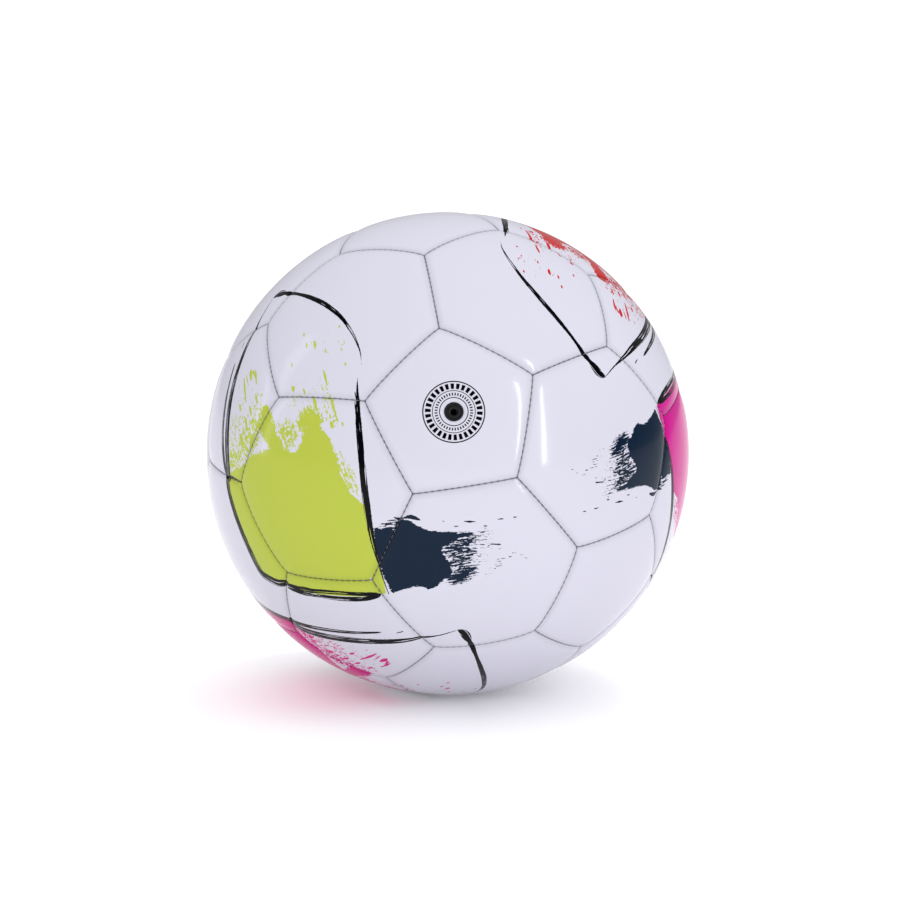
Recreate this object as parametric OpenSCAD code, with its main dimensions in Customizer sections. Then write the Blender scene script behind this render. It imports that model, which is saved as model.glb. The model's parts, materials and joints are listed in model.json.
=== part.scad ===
// Match football: a sewn cover of 12 pentagons and 20 hexagons over a rubber bladder,
// with a self-sealing needle valve in the middle of one pentagon.
// The origin is the centre of the ball, and the ball lies on the plane z = -ball_d / 2.

/* [Ball] */
// Outside diameter of the inflated ball
ball_d = 220; // [187:1:223]
// Height of the valve above level, seen from the centre, in degrees
valve_rise = 17; // [-90:1:90]
// Turn of the valve from -Y towards +X, in degrees
valve_turn = 1.4; // [-180:0.1:180]
// Spin of the panel pattern about the valve's axis, in degrees
pattern_spin = 26.8; // [0:0.1:72]

/* [Cover] */
// Thickness of the cover skin
skin_t = 1; // [0.8:0.1:1.1]
// Thickness of the foam behind the skin
foam_t = 2.3; // [1.5:0.1:3]
// Thickness of the cloth lining behind the foam
lining_t = 0.8; // [0.5:0.1:1.2]
// Gap between the turned-in edges of two panels
seam_gap = 0.1; // [0.06:0.02:0.2]
// Depth of the groove where two rolled edges meet
groove_depth = 1.2; // [1:0.05:1.3]
// Thickness of the waxed sewing thread
thread_d = 0.7; // [0.5:0.05:0.8]

/* [Bladder] */
// Wall thickness of the bladder
bladder_t = 0.8; // [0.6:0.1:1.2]

/* [Valve] */
// Diameter of the hole in the cover for the valve
cover_hole_d = 8.2; // [8.1:0.1:9]
// Diameter of the valve's visible end
valve_end_d = 7.9; // [7.5:0.1:8]
// Diameter of the boss that fills the foam behind the cover
boss_d = 12.9; // [11:0.1:14]
// Diameter of the flange bonded inside the bladder
flange_d = 32; // [26:1:36]
// Thickness of the flange
flange_t = 1.2; // [1:0.1:1.6]
// Diameter of the tube that hangs inside the bladder
tube_d = 11; // [10:0.5:12]
// Distance from the ball's surface to the tube's closed end
tube_depth = 18; // [15:1:20]
// Diameter of the soft core in the valve
core_d = 6.3; // [5.8:0.1:6.4]
// Diameter of the socket that takes the pump needle
needle_d = 2.5; // [2.3:0.1:2.8]
// Depth of the needle socket before it closes to a slit
needle_depth = 8; // [6:0.5:9]
// Diameter of the cloth patch around the valve
patch_d = 34; // [28:1:40]

/* [Hidden] */
$fn = 72;
SPHERE_FN = 180;
ball_r = ball_d / 2;

// Layers, as radii from the centre, outermost first
foam_r = ball_r - skin_t;
lining_r = foam_r - foam_t;
cover_inner_r = lining_r - lining_t;
layer_gap = 0.05;
bladder_r = cover_inner_r - 2 * layer_gap;
bladder_inner_r = bladder_r - bladder_t;

// Valve: heights along its axis, from the centre
valve_top = ball_r - 0.4;
boss_top = foam_r - 0.35;
boss_foot = bladder_inner_r - flange_t - 1;
tube_foot = ball_r - tube_depth;
tube_floor_t = 2;
core_top = valve_top - 0.15;
core_gap = 0.05;
mouth_depth = 0.5;
boss_clearance = 0.55;

// Angles of the truncated icosahedron, seen from its centre
icosahedron_step = atan(2);
pentagon_corner = atan(sin(icosahedron_step) / (2 + cos(icosahedron_step)));
pentagon_side = atan(tan(pentagon_corner) * cos(36));
hexagon_polar = acos(sqrt((5 + 2 * sqrt(5)) / 15));
hexagon_step = acos(sqrt(5) / 3);
hexagon_side = hexagon_step / 2;
seam_half = acos(cos(pentagon_corner) / cos(pentagon_side));
thread_end_gap = 0.8;

// Places of the panel centres as [polar angle, azimuth, azimuth of the first corner],
// the last of them in the panel's own frame.
pentagons = concat(
    [[0, 0, 0]],
    [for (i = [0:4]) [icosahedron_step, 72 * i, 180]],
    [for (i = [0:4]) [180 - icosahedron_step, 36 + 72 * i, 0]],
    [[180, 0, 0]]
);

// Rings of hexagons as [polar angle, azimuth of the first, azimuths of the seams to
// pentagons, azimuths of the seams to hexagons that are drawn from this ring].
hexagon_rings = [
    [hexagon_polar, 36, [180, 60, -60], [0, 120]],
    [hexagon_polar + hexagon_step, 36, [0, 120, -120], [60, -60]],
    [180 - hexagon_polar - hexagon_step, 0, [180, 60, -60], [0]],
    [180 - hexagon_polar, 0, [0, 120, -120], [60]]
];
hexagons = [for (ring = hexagon_rings) for (i = [0:4]) [ring[0], ring[1] + 72 * i, 30]];

// Names of the panels, in the order of their places
function two_digits(n) = str(n < 10 ? "0" : "", n);
PENTAGON_PANELS = concat(["valve_panel"], [for (i = [2:12]) str("pentagon_panel_", two_digits(i))]);
HEXAGON_PANELS = [for (i = [1:20]) str("hexagon_panel_", two_digits(i))];

// The ball's own frame has the valve on +Z; this lays it in its resting place.
module laid() {
    rotate([0, 0, valve_turn])
        rotate([90 - valve_rise, 0, 0])
            rotate([0, 0, pattern_spin])
                children();
}

// Puts what is built around +Z at a panel's place, with -X towards the valve.
module at_place(place) {
    rotate([0, 0, place[1]])
        rotate([0, place[0], 0])
            children();
}

// A solid sphere whose poles and seam line lie away from +Z.
module ball_of(r) {
    rotate([90, 0, 0])
        sphere(r, $fn = SPHERE_FN);
}

module shell(outer_r, inner_r) {
    difference() {
        ball_of(outer_r);
        ball_of(inner_r);
    }
}

// Everything beyond a flat panel edge: a half-space whose face holds the seam's
// great circle, moved inwards.
module beyond_seam(azimuth, side_angle, inset) {
    size = 3 * ball_r;
    rotate([0, 0, azimuth])
        rotate([0, side_angle, 0])
            translate([-inset, -size / 2, -size / 2])
                cube(size);
}

// A slice of one layer with the outline of a panel, set in from each seam.
module layer(sides, side_angle, corner, outer_r, inner_r, inset) {
    difference() {
        shell(outer_r, inner_r);
        for (i = [0 : sides - 1])
            beyond_seam(corner + (i + 0.5) * 360 / sides, side_angle, inset);
    }
}

// Ring of V section that bevels the cover all along one seam.
module seam_groove(azimuth, side_angle) {
    reach = groove_depth + 1;
    rotate([0, 0, azimuth])
        rotate([0, side_angle - 90, 0])
            rotate_extrude($fn = SPHERE_FN)
                polygon([
                    [ball_r - groove_depth, 0],
                    [ball_r - groove_depth + reach, reach],
                    [ball_r - groove_depth + reach, -reach]
                ]);
}

// One cover panel: a skin whose edges are turned in at the seams, like a shallow tray.
module panel(sides, side_angle, corner) {
    difference() {
        layer(sides, side_angle, corner, ball_r, cover_inner_r, seam_gap / 2);
        layer(sides, side_angle, corner, foam_r, cover_inner_r - 1, skin_t);
        for (i = [0 : sides - 1])
            seam_groove(corner + (i + 0.5) * 360 / sides, side_angle);
    }
}

module pentagon_panel(i) {
    color(i % 2 == 0 ? "white" : "whitesmoke")
        laid()
            at_place(pentagons[i])
                difference() {
                    panel(5, pentagon_side, pentagons[i][2]);
                    if (i == 0)
                        cylinder(d = cover_hole_d, h = 2 * ball_r);
                }
}

module hexagon_panel(i) {
    color(i % 2 == 0 ? "lavender" : "ghostwhite")
        laid()
            at_place(hexagons[i])
                panel(6, hexagon_side, hexagons[i][2]);
}

// Sewing thread along one seam, lying in the groove and stopping short of the corners.
module seam_thread(azimuth, side_angle) {
    r = ball_r - groove_depth + 0.75 * thread_d;
    half = seam_half - thread_end_gap / ball_r * 180 / PI - thread_d / ball_r * 180 / PI;
    rotate([0, 0, azimuth])
        rotate([0, side_angle - 90, 0])
            rotate([0, 0, -half])
                rotate_extrude(angle = 2 * half, $fn = SPHERE_FN)
                    translate([r, 0])
                        circle(d = thread_d, $fn = 24);
}

module pentagon_seam_threads() {
    color("dimgray")
        laid()
            for (place = pentagons)
                at_place(place)
                    for (i = [0:4])
                        seam_thread(place[2] + (i + 0.5) * 72, pentagon_side);
}

module hexagon_seam_threads() {
    color("gray")
        laid()
            for (ring = hexagon_rings)
                for (i = [0:4])
                    at_place([ring[0], ring[1] + 72 * i])
                        for (azimuth = ring[3])
                            seam_thread(azimuth, hexagon_side);
}

// A pad that fills the trays of one kind of panel between two radii.
module pentagon_pads(outer_r, inner_r, valve_hole_d) {
    for (i = [0:11])
        at_place(pentagons[i])
            difference() {
                layer(5, pentagon_side, pentagons[i][2], outer_r, inner_r, skin_t + layer_gap);
                if (i == 0)
                    cylinder(d = valve_hole_d, h = 2 * ball_r);
            }
}

module hexagon_pads(outer_r, inner_r) {
    for (place = hexagons)
        at_place(place)
            layer(6, hexagon_side, place[2], outer_r, inner_r, skin_t + layer_gap);
}

module pentagon_foam() {
    color("lightyellow")
        laid()
            pentagon_pads(foam_r - layer_gap, lining_r, boss_d + 2 * boss_clearance);
}

module hexagon_foam() {
    color("lightyellow")
        laid()
            hexagon_pads(foam_r - layer_gap, lining_r);
}

module pentagon_lining() {
    color("beige")
        laid()
            pentagon_pads(lining_r - layer_gap, cover_inner_r, patch_d + 2 * layer_gap);
}

module hexagon_lining() {
    color("beige")
        laid()
            hexagon_pads(lining_r - layer_gap, cover_inner_r);
}

// Ring of strong cloth that takes the lining's place around the valve.
module valve_patch() {
    color("burlywood")
        laid()
            difference() {
                intersection() {
                    shell(lining_r - layer_gap, cover_inner_r);
                    cylinder(d = patch_d, h = 2 * ball_r);
                }
                cylinder(d = boss_d + 2 * boss_clearance, h = 2 * ball_r);
            }
}

module bladder() {
    color("black")
        laid()
            difference() {
                shell(bladder_r, bladder_inner_r);
                cylinder(d = boss_d + 2 * layer_gap, h = 2 * ball_r);
            }
}

// Moulded rubber valve: flange, boss, visible neck, and the tube that hangs in the bladder.
module valve_body() {
    color("dimgray")
        laid()
            difference() {
                union() {
                    intersection() {
                        shell(bladder_inner_r - layer_gap, bladder_inner_r - flange_t);
                        cylinder(d = flange_d, h = 2 * ball_r);
                    }
                    translate([0, 0, boss_foot])
                        cylinder(d = boss_d, h = boss_top - boss_foot);
                    translate([0, 0, boss_foot])
                        cylinder(d = valve_end_d, h = valve_top - boss_foot);
                    translate([0, 0, tube_foot])
                        cylinder(d = tube_d, h = boss_top - tube_foot);
                }
                translate([0, 0, tube_foot + tube_floor_t])
                    cylinder(d = core_d + 2 * core_gap, h = ball_r);
            }
}

// Soft plug that closes on itself below the needle socket.
module valve_core() {
    color("black")
        laid()
            difference() {
                translate([0, 0, tube_foot + tube_floor_t + core_gap])
                    cylinder(d = core_d, h = core_top - tube_foot - tube_floor_t - core_gap);
                translate([0, 0, core_top - needle_depth])
                    cylinder(d = needle_d, h = needle_depth + 1);
                translate([0, 0, core_top - mouth_depth])
                    cylinder(d1 = needle_d, d2 = needle_d + 4 * mouth_depth, h = 2 * mouth_depth);
            }
}

for (i = [0:11])
    pentagon_panel(i);
for (i = [0:19])
    hexagon_panel(i);
pentagon_seam_threads();
hexagon_seam_threads();
pentagon_foam();
hexagon_foam();
pentagon_lining();
hexagon_lining();
valve_patch();
bladder();
valve_body();
valve_core();
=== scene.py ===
import json

import bpy
import numpy as np
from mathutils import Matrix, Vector


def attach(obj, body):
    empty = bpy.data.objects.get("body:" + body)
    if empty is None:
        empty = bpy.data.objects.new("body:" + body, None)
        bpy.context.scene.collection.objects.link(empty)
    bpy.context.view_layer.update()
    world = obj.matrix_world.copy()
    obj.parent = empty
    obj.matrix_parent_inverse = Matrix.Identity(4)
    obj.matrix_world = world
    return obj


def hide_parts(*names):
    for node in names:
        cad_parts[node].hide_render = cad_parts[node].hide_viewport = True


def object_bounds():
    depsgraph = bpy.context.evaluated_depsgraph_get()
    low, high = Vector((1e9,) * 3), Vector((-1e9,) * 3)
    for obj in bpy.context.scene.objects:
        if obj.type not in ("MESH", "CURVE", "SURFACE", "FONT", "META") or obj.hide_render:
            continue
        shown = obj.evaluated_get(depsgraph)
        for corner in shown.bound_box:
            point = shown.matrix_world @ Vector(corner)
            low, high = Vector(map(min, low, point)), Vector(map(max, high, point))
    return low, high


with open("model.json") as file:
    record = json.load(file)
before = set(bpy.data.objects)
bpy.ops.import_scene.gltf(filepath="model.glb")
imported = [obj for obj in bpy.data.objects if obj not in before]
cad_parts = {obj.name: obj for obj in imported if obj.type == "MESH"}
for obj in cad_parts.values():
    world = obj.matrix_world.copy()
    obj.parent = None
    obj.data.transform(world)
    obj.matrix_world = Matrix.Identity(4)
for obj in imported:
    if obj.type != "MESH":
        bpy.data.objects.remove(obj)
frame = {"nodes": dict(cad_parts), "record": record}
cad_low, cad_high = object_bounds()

# Cover panels: coated synthetic leather with a skin 0.7 mm thick, cut as 12 pentagons and 20 hexagons
# and turned in along every edge. The edges roll over into the seam, the thread pulls a dimple
# at each stitch, and the air behind swells the panels a little between their seams.
MM = 0.001
BALL_R = (cad_high - cad_low).length / 2 / np.sqrt(3)
PATTERN_SPIN = 26.8
ICOSAHEDRON_STEP = np.arctan(2)
PENTAGON_CORNER = np.arctan(np.sin(ICOSAHEDRON_STEP) / (2 + np.cos(ICOSAHEDRON_STEP)))
PENTAGON_SIDE = np.arctan(np.tan(PENTAGON_CORNER) * np.cos(np.radians(36)))
HEXAGON_POLAR = np.arccos(np.sqrt((5 + 2 * np.sqrt(5)) / 15))
HEXAGON_STEP = np.arccos(np.sqrt(5) / 3)
HEXAGON_SIDE = HEXAGON_STEP / 2
SEAM_HALF = np.arccos(np.cos(PENTAGON_CORNER) / np.cos(PENTAGON_SIDE))
STEP_DEG, POLAR_DEG, HOP_DEG = np.degrees([ICOSAHEDRON_STEP, HEXAGON_POLAR, HEXAGON_STEP])

SKIN_T = 0.7 * MM
FLANGE_DEPTH = 4.1 * MM
HOLE_LIP, HOLE_BACK = 0.35 * MM, 0.2 * MM
EDGE_BAND = 10.5 * MM
INNER_ROWS, BACK_ROWS = {5: 14, 6: 20}, 8
SEAM_GAP = 0.05 * MM
EDGE_ROLL = 0.7 * MM
EDGE_SINK, EDGE_SINK_REACH = 0.7 * MM, 3.2 * MM
STITCHES_PER_SEAM = 16
STITCH_SINK, STITCH_REACH = 0.2 * MM, 1.0 * MM
COLUMNS = 80
EDGE_STEPS = np.array([9, 7, 5.4, 4.2, 3.2, 2.4, 1.8, 1.35, 1, 0.75, 0.55, 0.38, 0.24, 0.13, 0.05]) * MM
VALVE_HOLE_R = 4.1 * MM


def turn(axis, degrees):
    """Rotation by degrees about a unit axis a: cos I + sin K + (1 - cos) a a^T, with K v = a x v."""
    a = np.asarray(axis, float)
    k = np.array([[0, -a[2], a[1]], [a[2], 0, -a[0]], [-a[1], a[0], 0]])
    c, s = np.cos(np.radians(degrees)), np.sin(np.radians(degrees))
    return c * np.eye(3) + s * k + (1 - c) * np.outer(a, a)


def place(polar, azimuth):
    """Rotation that carries what is built round +Z to a polar angle and azimuth in degrees."""
    return turn((0, 0, 1), azimuth) @ turn((0, 1, 0), polar)


def lay_ball():
    """Rotation from the ball's own frame, with the valve on +Z, to the row frame: +Z goes to the axis of
    the needle bore, and the panel pattern is spun about it."""
    axis = np.array(next(m for m in frame["record"]["mounts"] if m["name"] == "needle_bore")["axis"])
    level = np.array([-axis[1], axis[0], 0]) / np.hypot(axis[0], axis[1])
    return np.stack([level, np.cross(axis, level), axis], axis=1) @ turn((0, 0, 1), PATTERN_SPIN)


LAID = lay_ball()


def panel_places():
    """Name, number of sides, azimuth of the first corner and place of each of the 32 panels."""
    pentagons = [(0, 0, 0)]
    pentagons += [(STEP_DEG, 72 * i, 180) for i in range(5)]
    pentagons += [(180 - STEP_DEG, 36 + 72 * i, 0) for i in range(5)]
    pentagons += [(180, 0, 0)]
    rings = [(POLAR_DEG, 36), (POLAR_DEG + HOP_DEG, 36), (180 - POLAR_DEG - HOP_DEG, 0), (180 - POLAR_DEG, 0)]
    hexagons = [(p, a + 72 * i) for p, a in rings for i in range(5)]
    names = ["valve_panel"] + [f"pentagon_panel_{i:02d}" for i in range(2, 13)]
    panels = [(n, 5, c, place(p, a)) for n, (p, a, c) in zip(names, pentagons)]
    return panels + [(f"hexagon_panel_{i + 1:02d}", 6, 30, place(p, a)) for i, (p, a) in enumerate(hexagons)]


def seam_distance(direction, sides, corner):
    """Distances (n, sides) to the planes of a panel's seams, arcsin(-d.n) times the radius, and the
    direction of each seam."""
    side_angle = PENTAGON_SIDE if sides == 5 else HEXAGON_SIDE
    a = np.radians(corner + (np.arange(sides) + 0.5) * 360 / sides)
    c, s = np.cos(side_angle), np.sin(side_angle)
    normals = np.stack([c * np.cos(a), c * np.sin(a), np.full(sides, -s)], axis=1)
    tangents = np.stack([-np.sin(a), np.cos(a), np.zeros(sides)], axis=1)
    return np.maximum(BALL_R * np.arcsin(np.clip(-direction @ normals.T, -1, 1)), 0), tangents


def stitch_at(direction, tangent):
    """How near a stitch is along a seam: a raised cosine, 1 at each stitch and 0 half way between two."""
    along = (direction * tangent).sum(axis=1) / (2 * np.sin(SEAM_HALF)) + 0.5
    return 0.5 + 0.5 * np.cos(2 * np.pi * along * STITCHES_PER_SEAM)


def skin_radius(direction, sides, corner):
    """Radius of a panel's face: the ball's, less a sink exp(-g/reach) summed over the seams' distances g,
    less a quarter-round roll at the nearest seam, less a dimple at each stitch that fades away from it
    as exp(-g/reach)."""
    gap, tangents = seam_distance(direction, sides, corner)
    nearest, edge = gap.min(axis=1), gap.argmin(axis=1)
    sink = EDGE_SINK * np.exp(-gap / EDGE_SINK_REACH).sum(axis=1)
    roll = EDGE_ROLL - np.sqrt(EDGE_ROLL**2 - np.clip(EDGE_ROLL - nearest, 0, EDGE_ROLL) ** 2)
    stitch = stitch_at(direction, tangents[edge])
    return BALL_R - sink - roll - STITCH_SINK * stitch * np.exp(-nearest / STITCH_REACH)


def near_seam(points, sides, corner):
    """Distance to the nearest seam in millimetres, and how near a stitch is along it, from 0 to 1."""
    direction = points / np.linalg.norm(points, axis=1, keepdims=True)
    gap, tangents = seam_distance(direction, sides, corner)
    stitch = stitch_at(direction, tangents[gap.argmin(axis=1)])
    return np.stack([gap.min(axis=1) / MM, stitch, np.zeros(len(points))], axis=1)


def ring_faces(rows, columns, closed=False):
    """Quads of a grid whose columns run round in a ring; closed joins the last row to the first."""
    r, c = np.arange(rows if closed else rows - 1)[:, None], np.arange(columns)[None, :]
    below, beside = (r + 1) % rows, (c + 1) % columns
    corners = [r * columns + c, below * columns + c, below * columns + beside, r * columns + beside]
    return np.stack(corners, axis=-1).reshape(-1, 4)


def panel_surface(sides, corner, hole_r=0.0):
    """Closed skin about +Z: rows run out from the middle (or the hole) to the edge, down the turned-in
    flange and back behind the face; columns run round. The edge lies at the polar angle
    arctan(tan(side angle) / cos(angle from the middle of the side))."""
    side_angle = PENTAGON_SIDE if sides == 5 else HEXAGON_SIDE
    reach, count = BALL_R * side_angle, sides * COLUMNS
    side, step = np.divmod(np.arange(count), COLUMNS)
    swing = np.arctan(np.tan((step / COLUMNS * 2 - 1) * SEAM_HALF) / np.sin(side_angle))
    azimuth = np.radians(corner + (side + 0.5) * 360 / sides) + swing
    edge_angle = np.arctan(np.tan(side_angle) / np.cos(swing))
    inner = np.linspace(0, 1 - EDGE_BAND / reach, INNER_ROWS[sides])
    shares = np.concatenate([inner if hole_r else inner[1:], 1 - EDGE_STEPS / reach])
    flange = 1 - np.array([SEAM_GAP, SKIN_T]) / reach
    back = np.linspace(1 - SKIN_T / reach, 0, BACK_ROWS)[1 : None if hole_r else -1]
    share = np.concatenate([shares, flange, back])
    polar = share[:, None] * (edge_angle - hole_r / BALL_R) + hole_r / BALL_R
    x, y = np.sin(polar) * np.cos(azimuth), np.sin(polar) * np.sin(azimuth)
    direction = np.stack([x, y, np.cos(polar)], axis=-1)
    radius = skin_radius(direction.reshape(-1, 3), sides, corner).reshape(len(share), count)
    radius[len(shares) : len(shares) + 2] = BALL_R - FLANGE_DEPTH
    radius[len(shares) + 2 :] -= SKIN_T
    if hole_r:
        radius[0] -= HOLE_LIP
        radius[-1] -= HOLE_BACK
    points = (direction * radius[:, :, None]).reshape(-1, 3)
    faces = [ring_faces(len(share), count, closed=bool(hole_r))]
    if not hole_r:
        ring, after, last = np.arange(count), (np.arange(count) + 1) % count, (len(share) - 1) * count
        faces.append(np.stack([np.full(count, len(points)), ring, after], axis=1))
        faces.append(np.stack([np.full(count, len(points) + 1), last + after, last + ring], axis=1))
        points = np.concatenate([points, [[0, 0, BALL_R], [0, 0, BALL_R - SKIN_T]]])
    return points, faces


def build_mesh(name, points, faces):
    """Smooth object from points (n, 3) of the ball's frame and a list of index arrays, each array holding
    faces with the same number of corners."""
    mesh = bpy.data.meshes.new(name)
    sizes = np.concatenate([np.full(len(f), f.shape[1]) for f in faces])
    corners = np.concatenate([f.ravel() for f in faces])
    mesh.vertices.add(len(points))
    mesh.vertices.foreach_set("co", (points @ LAID.T).astype(np.float32).ravel())
    mesh.loops.add(len(corners))
    mesh.loops.foreach_set("vertex_index", corners.astype(np.int32))
    mesh.polygons.add(len(sizes))
    mesh.polygons.foreach_set("loop_start", (np.cumsum(sizes) - sizes).astype(np.int32))
    mesh.polygons.foreach_set("loop_total", sizes.astype(np.int32))
    mesh.polygons.foreach_set("use_smooth", np.ones(len(sizes), bool))
    mesh.update(calc_edges=True)
    piece = bpy.data.objects.new(name, mesh)
    bpy.context.scene.collection.objects.link(piece)
    return piece


panels = []
for name, sides, corner, setting in panel_places():
    local, faces = panel_surface(sides, corner, VALVE_HOLE_R if name == "valve_panel" else 0.0)
    panel = build_mesh(name + "_skin", local @ setting.T, faces)
    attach(panel, "root")
    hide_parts(name)
    panels.append((panel, local @ setting.T, near_seam(local, sides, corner)))

# Print on the cover: one badge, screen printed on the panels in five places. Brushed ink lines
# bound it, its paint runs dry towards the top, and a navy brush mark crosses its lower right
# corner. It is laid out flat, in millimetres from a seam corner, with x right and y up.
SHOULDER = (
    [(-4.6, 62.8), (-1.5, 62.7), (2.5, 60.4), (8, 56.4), (14, 51.2), (21, 44.6), (28, 37.2), (33, 30.8),
     (38, 23), (41.4, 15), (43.4, 8), (44.3, 1), (43.6, -5)],
    [(0, 1), (0.015, 2.6), (0.05, 4.2), (0.09, 3.4), (0.12, 1.7), (0.145, 2.6), (0.18, 2.1),
     (0.26, 1.5), (0.4, 2.1), (0.5, 2.2), (0.62, 1.9), (0.74, 1.4), (0.88, 0.8), (1, 0)],
)
LEFT_NEAR = (
    [(-5, 62.4), (-9.4, 54.5), (-14.4, 47), (-20, 37.6), (-26, 28), (-31.5, 18.2), (-36.2, 9),
     (-40.6, -0.5), (-44.6, -9), (-48.6, -16)],
    [(0, 0.3), (0.12, 0.7), (0.2, 1.5), (0.3, 2.6), (0.45, 3.2), (0.6, 3.6), (0.8, 3.8), (0.93, 3.6),
     (1, 1)],
)
LEFT_FAR = (
    [(-28, 37), (-33.2, 27), (-38.2, 17), (-42.4, 7.8), (-46, -1.6), (-48.6, -9), (-50.6, -14.6)],
    [(0, 0), (0.04, 1), (0.25, 1.6), (0.5, 2.1), (0.8, 2.4), (0.97, 2.6), (1, 0)],
)
LEFT_DASH = ([(-22.4, 45.4), (-23.2, 43.2), (-24.2, 41)], [(0, 0.2), (0.5, 0.6), (1, 0.2)])
LEFT_BORDER = (
    [(-49.6, -12.6), (-52, -20), (-55, -32), (-58.4, -46), (-61.4, -56), (-62.4, -61), (-58.8, -66.4),
     (-54, -71), (-47.6, -73.6)],
    [(0, 1.4), (0.03, 3), (0.3, 3.6), (0.6, 4.2), (0.75, 4.6), (0.86, 4.5), (0.96, 3.4), (1, 1)],
)
FOOT_NEAR = (
    [(-49.8, -73.6), (-44, -78.8), (-38, -83), (-30, -87.6), (-20, -93.8), (-12, -99), (-3, -104.6)],
    [(0, 1.4), (0.12, 3.4), (0.24, 3.8), (0.34, 2.3), (0.5, 2.2), (0.75, 2), (0.95, 2.2), (1, 1.6)],
)
FOOT_FAR = (
    [(-50.6, -75.6), (-44, -81.6), (-36, -87.6), (-28, -93.4), (-20, -98.6), (-10, -103.6),
     (-2, -105.8)],
    [(0, 1), (0.14, 2.6), (0.26, 1.6), (0.4, 1.3), (0.6, 1.7), (0.85, 2.4), (0.97, 2.6), (1, 1.6)],
)
FOOT_MIDDLE = (
    [(-36, -86), (-30, -90.6), (-24, -94.6), (-16, -99.4), (-9, -103)],
    [(0, 0), (0.2, 1), (0.8, 1.1), (1, 0)],
)
RIGHT_SIDE = (
    [(2.8, -108), (6.4, -99.6), (10.6, -90), (14.4, -80.8), (18.4, -72), (22.6, -62.4), (27, -51.6),
     (30.4, -42.6), (33.6, -32.6), (36.4, -23), (38.6, -15.6), (40.6, -9.6)],
    [(0, 0.4), (0.12, 1.1), (0.25, 1.7), (0.34, 2.5), (0.45, 3.1), (0.6, 2.9), (0.7, 2.8), (0.8, 2.5),
     (0.88, 1.7), (0.95, 0.8), (1, 0.1)],
)
RIGHT_TWIN = ([(31, -45), (33, -36), (35.4, -25), (37.4, -15.6)], [(0, 0), (0.3, 1.2), (0.8, 1.5), (1, 0.3)])
SEAM_HOOK = ([(-50, -12.8), (-46.6, -14.6), (-43, -17.8), (-39.6, -21.4)], [(0, 1.4), (0.4, 1.1), (1, 0.2)])
INK_STROKES = [
    [SHOULDER, LEFT_BORDER, RIGHT_SIDE],
    [LEFT_NEAR, FOOT_NEAR, RIGHT_TWIN],
    [LEFT_FAR, LEFT_DASH, FOOT_FAR],
    [SEAM_HOOK, FOOT_MIDDLE],
]

PAINT_WALLS = [
    (-5, 60), (-14, 46), (-26, 28), (-36, 9), (-45, -7), (-50, -14), (-52, -20), (-55, -32),
    (-58.4, -46), (-61.4, -56), (-62, -61), (-58.8, -66.4), (-52, -72), (-44, -80), (-36, -86),
    (-20, -96), (-10, -102), (1.6, -107), (6.4, -99.6), (14.4, -80.8), (18.4, -72), (22.6, -62.4),
    (27, -51.6), (30.4, -42.6), (36.4, -23), (40.6, -9.6), (43, 8), (37, 24), (28, 36.6), (14, 51),
]
PAINT_SOLID = [
    (-90, -12), (-50, -12), (-44, -13), (-36, -16), (-28, -15), (-18, -17.6), (-12, -19), (-10.4, -12),
    (-10, -4), (-7.6, -1.6), (-5.6, -5), (-5, -17), (-3, -25), (1, -28), (6, -25), (9, -22), (14, -21),
    (18, -24), (19.2, -30), (19.4, -35), (18.4, -40), (17.6, -50), (18, -57), (20.6, -63), (40, -68),
    (40, -140), (-90, -140),
]
# Where the paint is broken: x, y, half width, half height and how much of it is there, 0.5 for half
PAINT_BROKEN = [
    (-38, -10, 12, 8, 0.6), (-24, -9, 14, 10, 0.58), (-9.5, -9, 6, 12, 0.84), (13, -19, 8, 8, 0.82),
    (0, -19, 9, 9, 0.6), (-30, 2, 14, 10, 0.44), (-13, 3, 9, 9, 0.4), (-20, 13, 14, 13, 0.31),
    (-36, -3, 10, 12, 0.44), (11, -8, 12, 8, 0.36), (24, -16, 5, 18, 0.44), (20, -48, 5, 16, 0.54),
    (30, 12, 13, 18, 0.25), (7, 2, 16, 10, 0.24), (-16, -6, 7, 8, 0.62),
]
# Long upright drops with places of their own: x, lowest and highest y, and width
DROPS = [
    (-19.4, 8, 21, 1.3), (-14.2, 17, 22, 2.2), (-10.8, 12.4, 20, 1.2), (-17.4, 0, 5, 1.5),
    (-24.4, 6.6, 10, 1.6), (-12.2, 3, 8, 1.1), (-22, -4, 2, 1.6), (24, 12, 16, 1.5),
    (19.8, 14.4, 17, 1), (19, 21, 23, 1), (26, -7.6, 0, 1.1), (25.8, -24, -12, 1.1),
    (22.6, -26.6, -23.4, 1.9), (27.4, -28, -26, 1), (9.2, -2.2, 0, 2), (18, -16, -9, 1.5),
    (28.6, 7.6, 9.4, 1.1), (36.8, 16.6, 19, 1), (38, 8, 10, 0.9), (36, 5, 7, 0.9), (36.4, -3, -1, 1.1),
    (11, 9, 11, 0.9), (-28, -8.6, -3.4, 2.6), (-21.6, -10.6, -6.4, 2), (14.4, -6.4, -3.6, 1),
]

NAVY_LEAN = -25.0
NAVY_SOLID = [
    (4.8, -108.6), (6, -104), (8, -97), (10.6, -91), (14, -83), (16.2, -79), (18.4, -76), (20.4, -74.4),
    (21.4, -78), (25, -77.4), (27, -80), (30, -77.2), (34, -77.8), (37, -80.6), (38.6, -84.6),
    (43, -89.4), (47, -92.4), (52, -95.2), (58, -98.8), (63, -102.2), (56, -101), (49, -99),
    (43, -99.6), (41.6, -103), (42, -110), (39.6, -115.4), (36.6, -117), (33, -116.4), (29, -118),
    (24, -117.4), (20.4, -112.4), (12, -109.8),
]
NAVY_BROKEN = [
    (52, -104, 15, 6, 0.66), (48, -111, 14, 6, 0.62), (44, -119.6, 12, 7, 0.74), (46, -97, 8, 4, 0.85),
    (60, -105, 14, 6, 0.44), (57, -113, 19, 8, 0.4), (64, -126, 20, 5, 0.3), (26, -78, 12, 5, 0.5),
]
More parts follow.
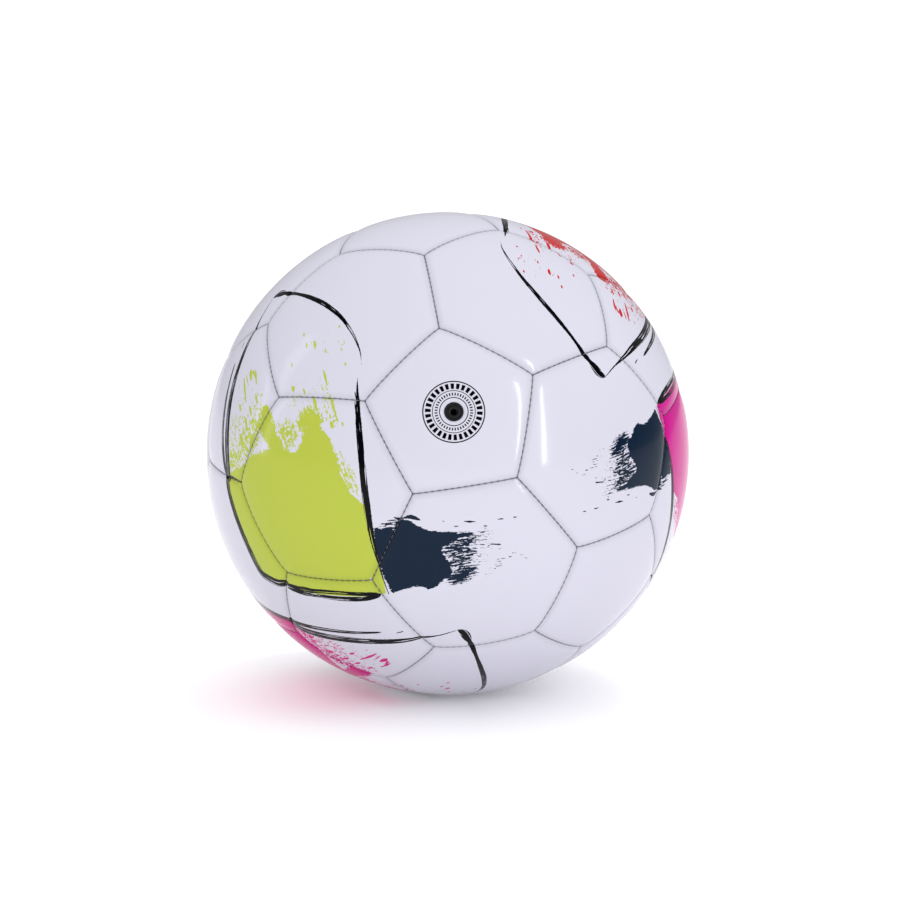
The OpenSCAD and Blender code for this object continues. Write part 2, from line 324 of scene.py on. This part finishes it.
NAVY_MARKS = [
    ([(30.4, -75), (32, -76.6), (34, -77.6)], [(0, 0.6), (0.5, 1), (1, 0.3)]),
    ([(34.4, -77.6), (37, -78.2), (39.4, -80), (41.4, -82.6)], [(0, 0.6), (0.4, 2), (0.8, 1.4), (1, 0.2)]),
    ([(60, -93), (62.6, -94.6), (65.4, -96.2)], [(0, 0.2), (0.5, 1.1), (1, 0.3)]),
    ([(54.4, -93), (56.4, -94)], [(0, 0.5), (1, 0.4)]),
    ([(50.4, -87.6), (51.4, -88.4)], [(0, 0.8), (1, 0.6)]),
    ([(68.4, -100.6), (69.8, -101.4)], [(0, 0.7), (1, 0.5)]),
    ([(76.6, -100.8), (79.4, -102)], [(0, 0.3), (1, 0.8)]),
    ([(85.4, -104.2), (87, -105)], [(0, 0.8), (1, 0.5)]),
    ([(66.6, -111.8), (71.4, -115)], [(0, 0.5), (1, 0.9)]),
    ([(60.4, -126.4), (62, -127.4)], [(0, 0.7), (1, 0.4)]),
    ([(65.4, -124), (67, -125)], [(0, 0.4), (1, 0.9)]),
    ([(72, -125), (74, -126)], [(0, 0.9), (1, 0.4)]),
    ([(78.4, -127.6), (80, -128.6)], [(0, 0.7), (1, 0.4)]),
    ([(80, -131.6), (82, -132.6)], [(0, 0.4), (1, 0.8)]),
]
FAR = -5.0
# Half a stroke's width for each unit of the widths above; how far along its grain a stroke shifts for
# each of its points; how far from its line a stroke is looked for; and the parts of a badge's score
HALF_WIDTH, GRAIN_SHIFT = 0.56, 37
LONG_REACH, SHORT_REACH = 4.0, 2.5
WALLS_SCORE, NAVY_SCORE, NAVY_START, LINES_SCORE = 4, 20, 5, 3
BADGE_BOX = np.array([(-68, -138), (95, 68)])


def own_direction(polar, azimuth):
    """Unit vector of the ball's frame at a polar angle and azimuth in degrees."""
    p, a = np.radians([polar, azimuth])
    return np.array([np.sin(p) * np.cos(a), np.sin(p) * np.sin(a), np.cos(p)])


# The first badge hangs from a corner of a pentagon next to the valve. The others follow from it by
# a third turn about one hexagon and by half turns about the middles of seams. Each badge has its
# turn and the colour of its paint.
BADGE_CORNER = own_direction(STEP_DEG - np.degrees(PENTAGON_CORNER), 144)
BADGE_HEXAGON = own_direction(POLAR_DEG, 180)
BADGES = [
    (np.eye(3), (0.375, 0.435, 0.055, 1)),
    # The second badge's magenta is set darker than the fourth's, as painted shade low on the ball.
    (turn(own_direction(180 - POLAR_DEG - HOP_DEG, 0), 120), (0.46, 0.002, 0.17, 1)),
    (turn(own_direction(STEP_DEG / 2, 72), 180), (0.43, 0.006, 0.006, 1)),
    (turn(own_direction(180 - STEP_DEG / 2, 108), 180), (0.47, 0.003, 0.21, 1)),
    (turn(own_direction(90, 90), 180), (0.375, 0.435, 0.055, 1)),
]


def flatten(points, setting):
    """Stereographic badge coordinates (n, 2) of ball points p, for a badge with corner c and directions e:
    2 R (p.e) / (1 + p.c), whose divisor is kept at 0.05 or more."""
    up = BADGE_CORNER * (BADGE_CORNER @ BADGE_HEXAGON) - BADGE_HEXAGON
    up /= np.linalg.norm(up)
    axes = np.stack([np.cross(up, BADGE_CORNER), up], axis=1)
    p = points / np.linalg.norm(points, axis=1, keepdims=True) @ setting
    return 2 * BALL_R / MM * (p @ axes) / np.maximum(1 + p @ BADGE_CORNER, 0.05)[:, None]


def curve_through(points):
    """Catmull-Rom curve through points, with eight pieces to a span."""
    p = np.array(points, float)
    ends = np.concatenate([[2 * p[0] - p[1]], p, [2 * p[-1] - p[-2]]])[:, None]
    a, b, c, d = ends[:-3], ends[1:-2], ends[2:-1], ends[3:]
    t = np.linspace(0, 1, 9)[:-1][None, :, None]
    curve = 2 * b + (c - a) * t + (2 * a - 5 * b + 4 * c - d) * t**2 + (3 * b - a - 3 * c + d) * t**3
    return np.concatenate([curve.reshape(-1, 2) / 2, p[-1:]])


def segments_at(flat, line):
    """For (n, 2) points and a line's segments: places along, offsets to the left, lengths and squared
    distances."""
    start, run = line[:-1], np.diff(line, axis=0)
    length = np.linalg.norm(run, axis=1)
    u = run / length[:, None]
    dx, dy = flat[:, :1] - start[:, 0], flat[:, 1:] - start[:, 1]
    along, left = dx * u[:, 0] + dy * u[:, 1], dy * u[:, 0] - dx * u[:, 1]
    return along, left, length, (along - np.clip(along, 0, length)) ** 2 + left**2


def strokes_at(flat, strokes, reach=LONG_REACH):
    """For each point the stroke that covers it most: offset across it, place along it, and half its width
    there, which falls off beyond the stroke's ends and is FAR out of reach."""
    best = np.tile([0.0, 0.0, FAR], (len(flat), 1))
    for points, widths in strokes:
        line = curve_through(points)
        near = ((flat > line.min(axis=0) - reach) & (flat < line.max(axis=0) + reach)).all(axis=1)
        index = np.flatnonzero(near)
        if not len(index):
            continue
        along, left, length, square = segments_at(flat[index], line)
        k, i = square.argmin(axis=1), np.arange(len(index))
        before = np.cumsum(length) - length
        reached = before[k] + np.clip(along[i, k], 0, length[k])
        over = np.maximum(-along[i, k], 0) * (k == 0)
        over = over + np.maximum(along[i, k] - length[k], 0) * (k == len(length) - 1)
        shares, sizes = np.array(widths, float).T
        half = np.interp(reached / length.sum(), shares, sizes) * HALF_WIDTH - over
        half = np.where(square[i, k] > reach**2, FAR, half)
        made = np.stack([left[i, k], reached + GRAIN_SHIFT * len(points), half], axis=1)
        better = made[:, 2] - abs(made[:, 0]) > best[index, 2] - abs(best[index, 0])
        best[index[better]] = made[better]
    return best


def inside_outline(flat, outline):
    """Signed distance to a closed outline, above 0 inside it, by the nearest side and the even-odd rule."""
    line = np.array(outline + outline[:1], float)
    _, _, _, square = segments_at(flat, line)
    y0, y1 = line[:-1, 1], line[1:, 1]
    rise = (flat[:, 1:] - y0) / (y1 - y0 + 1e-9)
    crossed = ((y0 > flat[:, 1:]) != (y1 > flat[:, 1:])) & (
        flat[:, :1] < line[:-1, 0] + rise * np.diff(line[:, 0]))
    return np.sqrt(square.min(axis=1)) * np.where(crossed.sum(axis=1) % 2, 1, -1)


def coverage(flat, solid, broken, edge):
    """How much of the paint is there, 0 to 1: a ramp across the solid's outline, and where it is broken
    domes share * sqrt(1 - (x/wide)^2 - (y/high)^2), the highest of them all."""
    cover = np.clip(0.5 + inside_outline(flat, solid) / (2 * edge), 0, 1)
    for x, y, wide, high, share in broken:
        dome = np.clip(1 - ((flat[:, 0] - x) / wide) ** 2 - ((flat[:, 1] - y) / high) ** 2, 0, 1)
        cover = np.maximum(cover, share * np.sqrt(dome))
    return cover


def badge_fields(flat):
    """Everything the finish needs to draw one badge at (n, 2) flat points, and a score that grows towards
    the badge's paint, navy and lines, by which one badge is chosen at each point."""
    drops = [([(x, low), (x + 0.15, (low + high) / 2), (x, high)], [(0, w * 0.5), (0.6, w), (1, w * 0.4)])
             for x, low, high, w in DROPS]
    walls = inside_outline(flat, PAINT_WALLS)
    paint = coverage(flat, PAINT_SOLID, PAINT_BROKEN, np.interp(flat[:, 1], [-60, -30, -20], [0.8, 1.2, 2.5]))
    navy = coverage(flat, NAVY_SOLID, NAVY_BROKEN, 1.0)
    fields = {f"ink_{i + 1}": strokes_at(flat, group) for i, group in enumerate(INK_STROKES)}
    fields["paint"] = np.stack([walls, paint, navy], axis=1)
    fields["paint_drops"] = strokes_at(flat, drops, SHORT_REACH)
    fields["navy_marks"] = strokes_at(flat, NAVY_MARKS, SHORT_REACH)
    fields["flat_at"] = np.column_stack([flat, np.zeros(len(flat))])
    score = np.maximum(walls * WALLS_SCORE, NAVY_SCORE * navy - NAVY_START)
    for key in ("ink_1", "ink_2", "ink_3", "ink_4", "paint_drops", "navy_marks"):
        score = np.maximum(score, fields[key][:, 2] - abs(fields[key][:, 0]) + LINES_SCORE)
    return fields, score


def write_attribute(mesh, name, kind, values):
    """Stores one vector or colour for each vertex of a mesh."""
    key = {"FLOAT_VECTOR": "vector", "FLOAT_COLOR": "color"}[kind]
    mesh.attributes.new(name, kind, "POINT").data.foreach_set(key, values.astype(np.float32).ravel())


for panel, points, seams in panels:
    chosen, best, colour = None, None, None
    for setting, paint in BADGES:
        flat = flatten(points, setting)
        if chosen is not None and not ((flat > BADGE_BOX[0]) & (flat < BADGE_BOX[1])).all(axis=1).any():
            continue
        fields, score = badge_fields(flat)
        if chosen is None:
            chosen, best, colour = fields, score, np.tile(paint, (len(points), 1))
            continue
        better = score > best
        best = np.maximum(score, best)
        colour[better] = paint
        for key, values in fields.items():
            chosen[key][better] = values[better]
    for key, values in chosen.items():
        write_attribute(panel.data, key, "FLOAT_VECTOR", values)
    write_attribute(panel.data, "paint_colour", "FLOAT_COLOR", colour)
    write_attribute(panel.data, "seams", "FLOAT_VECTOR", seams)
    if panel.name.startswith("valve"):
        write_attribute(panel.data, "about_valve", "FLOAT_VECTOR", points / MM)


# Finish of the cover: a clear-coated white skin with a fine grain. The masks below work in
# millimetres and turn the fields above into frayed, streaky edges.
class Field:
    """A number that varies over a surface. Arithmetic on it adds Math nodes, so that a finish reads as
    a formula."""

    def __init__(self, tree, socket):
        self.tree, self.socket = tree, socket

    @staticmethod
    def node(tree, kind, settings=(), sockets=()):
        """New node of a kind, its settings made first and then its sockets set or linked."""
        made = tree.nodes.new(kind)
        for key, value in dict(settings).items():
            setattr(made, key, value)
        for key, value in dict(sockets).items():
            if isinstance(value, (Field, bpy.types.NodeSocket)):
                tree.links.new(getattr(value, "socket", value), made.inputs[key])
            else:
                made.inputs[key].default_value = value
        return made

    def maths(self, operation, *values):
        """Math node of an operation on the values given."""
        made = Field.node(self.tree, "ShaderNodeMath", {"operation": operation}, enumerate(values))
        return Field(self.tree, made.outputs[0])

    def __add__(self, other):
        return self.maths("ADD", self, other)

    def __radd__(self, other):
        return self.maths("ADD", other, self)

    def __sub__(self, other):
        return self.maths("SUBTRACT", self, other)

    def __rsub__(self, other):
        return self.maths("SUBTRACT", other, self)

    def __mul__(self, other):
        return self.maths("MULTIPLY", self, other)

    def __rmul__(self, other):
        return self.maths("MULTIPLY", other, self)

    def __truediv__(self, other):
        return self.maths("DIVIDE", self, other)

    def __abs__(self):
        return self.maths("ABSOLUTE", self)

    def least(self, other):
        return self.maths("MINIMUM", self, other)

    def most(self, other):
        return self.maths("MAXIMUM", self, other)

    def limited(self):
        return Field(self.tree, Field.node(self.tree, "ShaderNodeClamp", (), {0: self}).outputs[0])

    def inside(self, softness=0.14):
        """1 where the value is above 0 and 0 below, over a blend of the given width."""
        return (self / softness + 0.5).limited()


def read_vector(tree, name):
    """The three numbers of a vector attribute."""
    read = Field.node(tree, "ShaderNodeAttribute", {"attribute_name": name})
    split = Field.node(tree, "ShaderNodeSeparateXYZ", (), {0: read.outputs["Vector"]})
    return [Field(tree, split.outputs[i]) for i in range(3)]


def noise_at(tree, vector, scale=1.0, detail=2.0, roughness=0.5):
    """Noise about 0 at a vector socket or a tuple of three numbers."""
    if isinstance(vector, tuple):
        vector = Field.node(tree, "ShaderNodeCombineXYZ", (), enumerate(vector)).outputs[0]
    sockets = {"Vector": vector, "Scale": scale, "Detail": detail, "Roughness": roughness}
    return Field(tree, Field.node(tree, "ShaderNodeTexNoise", (), sockets).outputs[0]) - 0.5


def blended(tree, mask, first, second):
    """Colour that is first where the mask is 0 and second where it is 1."""
    return Field.node(tree, "ShaderNodeMix", {"data_type": "RGBA"}, {0: mask, 6: first, 7: second}).outputs[2]


def new_finish(name):
    """Empty node material with its Principled shader, as (material, tree, shader)."""
    finish = bpy.data.materials.new(name)
    finish.use_nodes = True
    return finish, finish.node_tree, finish.node_tree.nodes["Principled BSDF"]


def bump_normal(tree, shader, height, strength, distance):
    """Bump from a height field into the shader's Normal."""
    sockets = {"Height": height, "Strength": strength, "Distance": distance}
    tree.links.new(Field.node(tree, "ShaderNodeBump", (), sockets).outputs[0], shader.inputs["Normal"])


def stroke_mask(tree, name, grain, streaks):
    """Brush stroke: near its line by half its width, with a wobbly edge and bare hairlines along it."""
    across, along, half = read_vector(tree, name)
    mask = (half + grain * 0.5 - abs(across)).inside()
    if streaks:
        hairs = noise_at(tree, (along * 0.05, across * 1.6, 4.0), detail=2.5)
        mask = mask * (0.115 - hairs).inside(0.03)
    return mask


def paint_mask(tree, x, y, walls, cover, grain):
    """Paint: inside the walls, where blots and upright bristle marks rise above what is left uncovered."""
    bristles = noise_at(tree, (x, y * 0.22, 5.0), detail=3, roughness=0.6)
    blots = noise_at(tree, (x * 0.75, y * 0.62, 9.0), detail=4, roughness=0.65)
    mask = (blots * 1.7 + bristles * 1.3 + (cover - 0.5) * 1.3).least(walls).inside(0.06)
    return mask.most(stroke_mask(tree, "paint_drops", grain, False))


def navy_mask(tree, x, y, walls, cover, grain):
    """Navy: outside the walls, where grit and hairs that lean with the brush rise above what is left
    uncovered."""
    c, s = float(np.cos(np.radians(NAVY_LEAN))), float(np.sin(np.radians(NAVY_LEAN)))
    along, across = x * c + y * s, y * c - x * s
    hairs = noise_at(tree, (along * 0.12, across * 1.05, 2.0), detail=3, roughness=0.6)
    grit = noise_at(tree, (along * 0.5, across * 0.95, 7.0), detail=4, roughness=0.65)
    mask = (hairs * 1.8 + grit * 1.2 + (cover - 0.5) * 1.3).least(0.3 - walls).inside(0.06)
    return mask.most(stroke_mask(tree, "navy_marks", grain, False))


# Round the valve, in millimetres: radius and half width of each ring; radius, half height, number and
# inked share of each row of ticks
VALVE_RINGS = ((5.9, 0.2), (8.85, 0.16), (12.8, 0.26))
VALVE_TICKS = ((7.35, 0.6, 40, 0.5), (10.75, 1.2, 30, 0.62))


def valve_rings(tree):
    """Rings and tick marks round the valve: half the line's width less the distance to each ring, and for
    the ticks a saw of the angle with a given share of each tooth inked."""
    x, y, _ = read_vector(tree, "about_valve")
    radius, angle = (x * x + y * y).maths("SQRT", x * x + y * y), y.maths("ARCTAN2", y, x)
    mask = None
    for ring_r, half in VALVE_RINGS:
        ring = (half - abs(radius - ring_r)).inside()
        mask = ring if mask is None else mask.most(ring)
    for middle, high, count, share in VALVE_TICKS:
        turns = angle * (count / (2 * np.pi))
        saw = turns - turns.maths("FLOOR", turns) - 0.5
        ticks = (share / 2 - abs(saw)) * (2 * np.pi * middle / count)
        mask = mask.most(ticks.least(high - abs(radius - middle)).inside())
    return mask


def cover_finish(name, with_valve):
    """White skin with its prints, faint scuffs, a pebbled grain, and painted shade in and beside the seams.
    """
    white, dull_white = (0.53, 0.523, 0.604, 1), (0.515, 0.51, 0.594, 1)
    ink, navy, seam_shade = (0.0008, 0.001, 0.0025, 1), (0.0025, 0.011, 0.028, 1), (0.012, 0.012, 0.018, 1)
    finish, tree, shader = new_finish(name)
    at = Field.node(tree, "ShaderNodeTexCoord").outputs["Object"]
    x, y, _ = read_vector(tree, "flat_at")
    walls, paint_cover, navy_cover = read_vector(tree, "paint")
    grain = noise_at(tree, (x * 0.9, y * 0.9, 3.0), detail=3)
    paint = Field.node(tree, "ShaderNodeAttribute", {"attribute_name": "paint_colour"}).outputs["Color"]
    colour = blended(tree, noise_at(tree, at, scale=26, detail=3) + 0.5, dull_white, white)
    colour = blended(tree, paint_mask(tree, x, y, walls, paint_cover, grain), colour, paint)
    colour = blended(tree, navy_mask(tree, x, y, walls, navy_cover, grain), colour, navy)
    lines = stroke_mask(tree, "ink_1", grain, True).most(stroke_mask(tree, "ink_2", grain, True))
    lines = lines.most(stroke_mask(tree, "ink_3", grain, True)).most(stroke_mask(tree, "ink_4", grain, False))
    if with_valve:
        lines = lines.most(valve_rings(tree))
    colour = blended(tree, lines, colour, ink)
    gap, stitch, _ = read_vector(tree, "seams")
    # Painted shade: dark down in the seam groove, darkest at each stitch, gone about half a millimetre from
    # the seam; it also makes the groove rougher.
    groove_shade = (0.9 - gap * 2 + (stitch - 0.5) * 0.6).limited()
    # Painted shade beside the seams, where the rolled panel edges fall away, fading out about 3 mm from the
    # seam.
    shade = (1 - gap * 0.34).limited() * 0.14
    colour = blended(tree, groove_shade * 0.5 + shade, colour, seam_shade)
    scuff = noise_at(tree, at, scale=140, detail=4, roughness=0.7)
    pebble = Field.node(tree, "ShaderNodeTexVoronoi", {"feature": "SMOOTH_F1"},
                        {"Vector": at, "Scale": 1500.0, "Smoothness": 0.6})
    height = noise_at(tree, at, scale=2600) * 0.4 + Field(tree, pebble.outputs["Distance"])
    tree.links.new(colour, shader.inputs["Base Color"])
    tree.links.new((scuff * 0.04 + groove_shade * 0.4 + 0.21).socket, shader.inputs["Roughness"])
    bump_normal(tree, shader, height, 0.05, 0.00012)
    shader.inputs["Specular IOR Level"].default_value = 0.05
    shader.inputs["Coat Weight"].default_value = 0.13
    shader.inputs["Coat Roughness"].default_value = 0.08
    return finish


plain_cover, valve_cover = cover_finish("printed_skin", False), cover_finish("printed_skin_with_valve", True)
for panel, _, _ in panels:
    panel.data.materials.append(valve_cover if panel.name.startswith("valve") else plain_cover)

# Sewing thread: one waxed, twisted polyester cord that comes up between the rolled edges at
# every stitch and dives again, so that only short humps of it show down in the groove.
THREAD_R = 0.22 * MM
THREAD_DEPTH, THREAD_RISE, THREAD_SWAY = 1.45 * MM, 0.3 * MM, 0.06 * MM
RINGS_PER_STITCH, THREAD_SIDES = 6, 6
SEAM_END = 0.04


def seam_places():
    """Kind, place, azimuth and side angle of each of the 90 seams, every one once."""
    seams = []
    for _, sides, corner, setting in panel_places():
        if sides == 5:
            seams += [("pentagon", setting, corner + (i + 0.5) * 72, PENTAGON_SIDE) for i in range(5)]
    rings = [(POLAR_DEG, 36, (0, 120)), (POLAR_DEG + HOP_DEG, 36, (60, -60)),
             (180 - POLAR_DEG - HOP_DEG, 0, (0,)), (180 - POLAR_DEG, 0, (60,))]
    for polar, first, azimuths in rings:
        for i in range(5):
            seams += [("hexagon", place(polar, first + 72 * i), a, HEXAGON_SIDE) for a in azimuths]
    return seams


def thread_tube(setting, azimuth, side_angle):
    """Tube along a seam's great circle whose middle dips as the cosine of the stitch angle and sways as
    the sine of half that angle and an eighth of a turn, with the number of stitches run and the angle
    round the tube at each point."""
    share = np.linspace(SEAM_END, 1 - SEAM_END, STITCHES_PER_SEAM * RINGS_PER_STITCH + 1)
    phase, run = 2 * np.pi * share * STITCHES_PER_SEAM, (share * 2 - 1) * SEAM_HALF
    out = np.array([np.sin(side_angle), 0, np.cos(side_angle)])
    across = np.array([np.cos(side_angle), 0, -np.sin(side_angle)])
    radial = np.cos(run)[:, None] * out + np.sin(run)[:, None] * np.array([0.0, 1.0, 0.0])
    middle = radial * (BALL_R - THREAD_DEPTH - THREAD_RISE * np.cos(phase))[:, None]
    middle += across * (THREAD_SWAY * np.sin(phase / 2 + np.pi / 4))[:, None]
    around = np.arange(THREAD_SIDES) / THREAD_SIDES * 2 * np.pi
    ring = np.cos(around)[None, :, None] * radial[:, None] + np.sin(around)[None, :, None] * across
    points = (middle[:, None] + THREAD_R * ring).reshape(-1, 3)
    lay = np.stack(np.broadcast_arrays(phase[:, None] / (2 * np.pi), around[None, :], 0.0), axis=-1)
    return points @ (setting @ turn((0, 0, 1), azimuth)).T, lay.reshape(-1, 3)


def thread_finish():
    """Dark waxed thread: two plies that wind round each other, drawn by length and angle."""
    finish, tree, shader = new_finish("waxed_thread")
    along, around, _ = read_vector(tree, "lay")
    wind = along * (2 * np.pi * 3) + around
    ply = wind.maths("SINE", wind) * 0.5 + 0.5
    colour = blended(tree, ply, (0.09, 0.09, 0.11, 1), (0.3, 0.29, 0.34, 1))
    tree.links.new(colour, shader.inputs["Base Color"])
    bump_normal(tree, shader, ply, 0.5, 0.0001)
    shader.inputs["Roughness"].default_value = 0.55
    return finish


waxed = thread_finish()
for kind in ("pentagon", "hexagon"):
    tubes = [thread_tube(*seam[1:]) for seam in seam_places() if seam[0] == kind]
    rows = len(tubes[0][0]) // THREAD_SIDES
    starts = np.arange(len(tubes))[:, None, None] * rows * THREAD_SIDES
    walls = (ring_faces(rows, THREAD_SIDES)[None] + starts).reshape(-1, 4)
    first = np.arange(THREAD_SIDES)
    ends = np.stack([first[::-1], first + (rows - 1) * THREAD_SIDES])[None] + starts
    ends = ends.reshape(-1, THREAD_SIDES)
    thread = build_mesh(f"{kind}_seam_stitches", np.concatenate([t[0] for t in tubes]), [walls, ends])
    write_attribute(thread.data, "lay", "FLOAT_VECTOR", np.concatenate([t[1] for t in tubes]))
    thread.data.materials.append(waxed)
    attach(thread, "root")
    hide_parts(f"{kind}_seam_threads")

# Valve: moulded butyl rubber. The body's flange is bonded inside the bladder, its boss fills
# the foam, and its neck ends in the black disc seen from outside. The soft core is pushed
# into the body, and its mouth guides the needle in.
BODY_PROFILE = [
    (3.22, -16), (3.22, -0.75), (3.3, -0.52), (3.45, -0.43), (3.6, -0.4), (3.78, -0.44), (3.9, -0.55),
    (3.95, -0.75), (3.95, -1.35), (6.2, -1.4), (6.42, -1.6), (6.45, -5.05), (15.6, -6.25), (16, -6.5),
    (16, -7.2), (15.6, -7.45), (6.6, -6.4), (5.5, -7.2), (5.5, -17.4), (5.2, -17.9), (4.8, -18),
    (0.4, -18), (0.4, -16),
]
CORE_PROFILE = [
    (0.3, -8.6), (1.25, -8.5), (1.25, -1.35), (1.3, -1.05), (1.5, -0.8), (1.8, -0.66), (2.1, -0.62),
    (2.4, -0.64), (2.6, -0.74), (2.75, -0.74), (2.95, -0.66), (3.08, -0.68), (3.15, -0.8),
    (3.15, -15.6), (3.0, -15.9), (0.3, -15.9),
]


def turned(profile, segments=96):
    """Closed surface of revolution about +Z from a closed (r, z) profile in millimetres, with z from the
    ball's face."""
    p, angle = np.array(profile, float) * MM, np.arange(segments) / segments * 2 * np.pi
    radius, height = p[:, :1], np.broadcast_to(BALL_R + p[:, 1:], (len(p), segments))
    points = np.stack([radius * np.cos(angle), radius * np.sin(angle), height], axis=-1)
    return points.reshape(-1, 3), [ring_faces(len(p), segments, closed=True)]


def rubber_finish(name, colour, roughness, bloom):
    """Matt moulded rubber with a dusty bloom and fine pits."""
    finish, tree, shader = new_finish(name)
    at = Field.node(tree, "ShaderNodeTexCoord").outputs["Object"]
    dust = noise_at(tree, at, scale=900, detail=4, roughness=0.7) + 0.5
    pale = tuple(c * 2.2 + 0.01 for c in colour[:3]) + (1,)
    tree.links.new(blended(tree, dust * bloom, colour, pale), shader.inputs["Base Color"])
    tree.links.new((dust * 0.2 + (roughness - 0.1)).socket, shader.inputs["Roughness"])
    bump_normal(tree, shader, noise_at(tree, at, scale=4000), 0.25, 0.0001)
    shader.inputs["Specular IOR Level"].default_value = 0.25
    return finish


for name, node, slot_name, profile, finish in (
    ("valve_body_rubber", "valve_body", "valve_rubber", BODY_PROFILE,
     rubber_finish("valve_butyl", (0.006, 0.0065, 0.009, 1), 0.55, 0.35)),
    ("valve_core_rubber", "valve_core", "core_rubber", CORE_PROFILE,
     rubber_finish("core_silicone", (0.003, 0.003, 0.004, 1), 0.5, 0.3)),
):
    part = build_mesh(name, *turned(profile))
    part.data.materials.append(finish)
    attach(part, "root")
    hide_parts(node)

# Layers behind the cover, as they come: foam pads, woven lining, the patch round the valve and
# the butyl bladder. They are bonded together and cannot be seen on a whole ball.


def woven_finish(name, light, dark, threads_per_m):
    """Plain weave: sine waves of warp and weft multiplied, as in a coated backing cloth."""
    finish, tree, shader = new_finish(name)
    at = Field.node(tree, "ShaderNodeTexCoord").outputs["Object"]
    split = Field.node(tree, "ShaderNodeSeparateXYZ", (), {0: at})
    waves = [Field(tree, split.outputs[i]) * (2 * np.pi * threads_per_m) for i in range(3)]
    x, y, z = [wave.maths("SINE", wave) for wave in waves]
    weave = x * z + y * 0.5
    mask = (weave * 0.3 + noise_at(tree, at, scale=500, detail=3) * 0.3 + 0.5).limited()
    tree.links.new(blended(tree, mask, dark, light), shader.inputs["Base Color"])
    bump_normal(tree, shader, weave, 0.5, 0.0002)
    shader.inputs["Roughness"].default_value = 0.85
    return finish


def foam_finish():
    """Fine closed-cell foam: pale, with small round cells."""
    finish, tree, shader = new_finish("backing_foam")
    at = Field.node(tree, "ShaderNodeTexCoord").outputs["Object"]
    voronoi = Field.node(tree, "ShaderNodeTexVoronoi", (), {"Vector": at, "Scale": 2200.0})
    cells = Field(tree, voronoi.outputs[0])
    colour = blended(tree, cells, (0.7, 0.66, 0.55, 1), (0.9, 0.87, 0.77, 1))
    tree.links.new(colour, shader.inputs["Base Color"])
    bump_normal(tree, shader, cells, 0.6, 0.0002)
    shader.inputs["Roughness"].default_value = 0.8
    return finish


foam = foam_finish()
lining = woven_finish("lining_weave", (0.84, 0.8, 0.72, 1), (0.6, 0.56, 0.48, 1), 1300)
for node, finish in (
    ("pentagon_foam", foam), ("hexagon_foam", foam), ("pentagon_lining", lining), ("hexagon_lining", lining),
    ("valve_patch", woven_finish("patch_weave", (0.7, 0.63, 0.48, 1), (0.42, 0.36, 0.25, 1), 800)),
    ("bladder", rubber_finish("bladder_butyl", (0.012, 0.012, 0.014, 1), 0.6, 0.6)),
):
    mesh = frame["nodes"][node].data
    mesh.materials.clear()
    mesh.materials.append(finish)

# Studio: a white floor that glows a little, and white surroundings. Soft lights above and in
# front shine on the ball without showing in it, and two upright strips only show in it, as the
# highlights along the rolled seams.
CAMERA_FROM, CAMERA_ELEVATION, LENS = 1.10, 7.97, 96.12
AIM = Vector((0.00109, 0, 0.00156))


def area_light(name, where, size, power, mirrored):
    """Rectangular soft light aimed at the ball's centre. It is either only mirrored in the ball, or only
    shines on it."""
    data = bpy.data.lights.new(name, "AREA")
    data.shape, data.energy = "RECTANGLE", power
    data.size, data.size_y = size
    light = bpy.data.objects.new(name, data)
    light.location = where
    light.visible_glossy, light.visible_diffuse = mirrored, not mirrored
    light.rotation_mode = "QUATERNION"
    light.rotation_quaternion = (-Vector(where)).to_track_quat("-Z", "Y")
    bpy.context.scene.collection.objects.link(light)


def surroundings():
    """White all round; what is mirrored in a glossy face is dim, and dimmest on the -Y side of the room."""
    world = bpy.data.worlds.new("surroundings")
    world.use_nodes = True
    tree = world.node_tree
    shade = tree.nodes["Background"]
    facing = Field.node(tree, "ShaderNodeTexCoord").outputs["Generated"]
    split = Field.node(tree, "ShaderNodeSeparateXYZ", (), {0: facing})
    beyond = (Field(tree, split.outputs[1]) * 1.6 + 0.05).limited()
    path = Field.node(tree, "ShaderNodeLightPath")
    mirrored = Field(tree, path.outputs["Is Glossy Ray"])
    strength = 1.05 + mirrored * (beyond * 0.35 - 1) + Field(tree, path.outputs["Is Camera Ray"]) * 0.05
    shade.inputs["Color"].default_value = (1, 1, 1, 1)
    tree.links.new(strength.socket, shade.inputs["Strength"])
    world.cycles.sampling_method = "NONE"
    bpy.context.scene.world = world


floor_mesh = bpy.data.meshes.new("floor")
floor_corners = ((-60, -60), (60, -60), (60, 60), (-60, 60))
floor_mesh.from_pydata([(x, y, cad_low.z) for x, y in floor_corners], [], [(0, 1, 2, 3)])
floor = bpy.data.objects.new("floor", floor_mesh)
bpy.context.scene.collection.objects.link(floor)
floor_finish, _, floor_shader = new_finish("floor_white")
floor_shader.inputs["Base Color"].default_value = (0.97, 0.965, 0.97, 1)
floor_shader.inputs["Roughness"].default_value = 0.7
floor_shader.inputs["Specular IOR Level"].default_value = 0
floor_shader.inputs["Emission Color"].default_value = (1, 1, 1, 1)
floor_shader.inputs["Emission Strength"].default_value = 0.12
floor_mesh.materials.append(floor_finish)
surroundings()
area_light("overhead", (0.35, 0.3, 1.5), (0.3, 0.8), 7, mirrored=False)
area_light("right_strip", (0.94, -1.04, 0.5), (0.09, 1.0), 13, mirrored=True)
area_light("left_strip", (-1.4, 0.1, 0.5), (0.2, 1.1), 3, mirrored=True)
area_light("front_fill", (0.45, -2.0, 0.7), (1.6, 0.8), 12, mirrored=False)
bpy.context.scene.view_settings.view_transform = "Standard"

camera_data = bpy.data.cameras.new("camera")
camera_data.lens, camera_data.sensor_width = LENS, 36.0
camera = bpy.data.objects.new("camera", camera_data)
elevation = np.radians(CAMERA_ELEVATION)
camera.location = Vector((0, -np.cos(elevation), np.sin(elevation))) * CAMERA_FROM
camera.rotation_mode = "QUATERNION"
camera.rotation_quaternion = (AIM - camera.location).to_track_quat("-Z", "Y")
bpy.context.scene.collection.objects.link(camera)
bpy.context.scene.camera = camera
